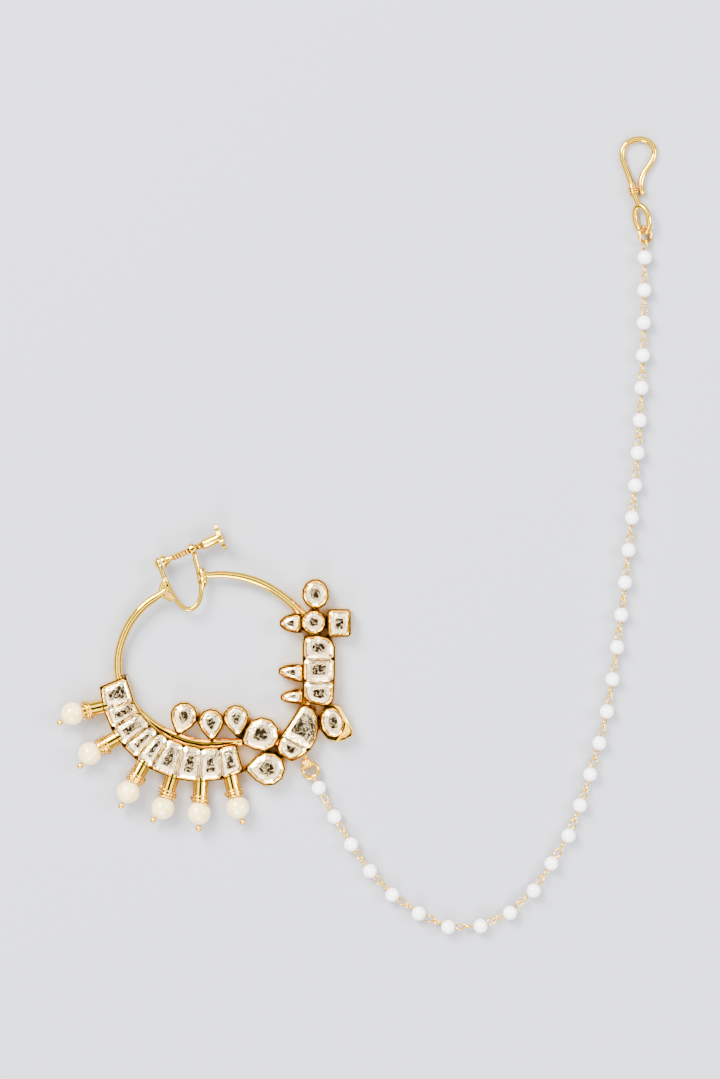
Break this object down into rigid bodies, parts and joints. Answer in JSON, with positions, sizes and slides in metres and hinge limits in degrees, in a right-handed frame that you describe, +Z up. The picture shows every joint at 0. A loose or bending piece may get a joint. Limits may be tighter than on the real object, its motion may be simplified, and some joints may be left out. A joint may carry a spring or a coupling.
{
  "type": "nath nose ring",
  "caption": "Hoop nose ring set with flat cut glass in gold trays, with pearl drops, a screw clip and a bead chain to a hair hook.",
  "frame": {"origin": "middle of the footprint at the level that the flat backs lie on", "axes": "+Z up through the stones' faces, +Y towards the hook's end of the chain, +X towards the chain from the hoop"},
  "size_m": [0.1292, 0.1718, 0.0058],
  "materials": {
    "gold": "polished gold plating",
    "kundan_glass": "flat cut glass over silver foil",
    "drop_pearl": "cream pearl lustre",
    "chain_bead": "white pearl lustre"
  },
  "bodies": {
    "root": {"setting_frame": "gold", "band_stone_1": "kundan_glass", "band_stone_2": "kundan_glass", "band_stone_3": "kundan_glass", "band_stone_4": "kundan_glass", "band_stone_5": "kundan_glass", "band_stone_6": "kundan_glass", "band_stone_7": "kundan_glass", "band_stone_8": "kundan_glass", "band_stone_9": "kundan_glass", "side_stone_1": "kundan_glass", "side_stone_2": "kundan_glass", "side_stone_3": "kundan_glass", "corner_stone_1": "kundan_glass", "corner_stone_2": "kundan_glass", "drop_stone_1": "kundan_glass", "drop_stone_2": "kundan_glass", "drop_stone_3": "kundan_glass", "pear_stone_1": "kundan_glass", "pear_stone_2": "kundan_glass", "leaf_stone_1": "kundan_glass", "leaf_stone_2": "kundan_glass", "leaf_stone_3": "kundan_glass", "round_stone": "kundan_glass", "oval_stone": "kundan_glass", "square_stone": "kundan_glass", "paisley_stone": "kundan_glass", "pearl_1": "drop_pearl", "pearl_2": "drop_pearl", "pearl_3": "drop_pearl", "pearl_4": "drop_pearl", "pearl_5": "drop_pearl", "pearl_6": "drop_pearl", "head_pin_1": "gold", "head_pin_2": "gold", "head_pin_3": "gold", "head_pin_4": "gold", "head_pin_5": "gold", "head_pin_6": "gold", "wire_wrap_1": "gold", "wire_wrap_2": "gold", "wire_wrap_3": "gold", "wire_wrap_4": "gold", "wire_wrap_5": "gold", "wire_wrap_6": "gold", "frame_ring": "gold", "bead_chain": "chain_bead", "hook_ring": "gold", "hook": "gold"},
    "screw_pad": {"pressure_pad": "gold"},
    "screw": {"thumb_screw": "gold"}
  },
  "joints": [
    {"name": "pad_slide", "type": "slide", "parent": "root", "child": "screw_pad", "axis": [0.9198, 0.3923, 0], "range_m": [0, 0.005]},
    {"name": "screw_turn", "type": "hinge", "parent": "screw_pad", "child": "screw", "pos_m": [-0.04217, -0.00592, 0.00293], "axis": [0.9198, 0.3923, 0], "range_deg": [0, 2580]}
  ],
  "couplings": [
    {"joint": "screw_turn", "follows": "pad_slide", "rad_per_m": 8976}
  ]
}
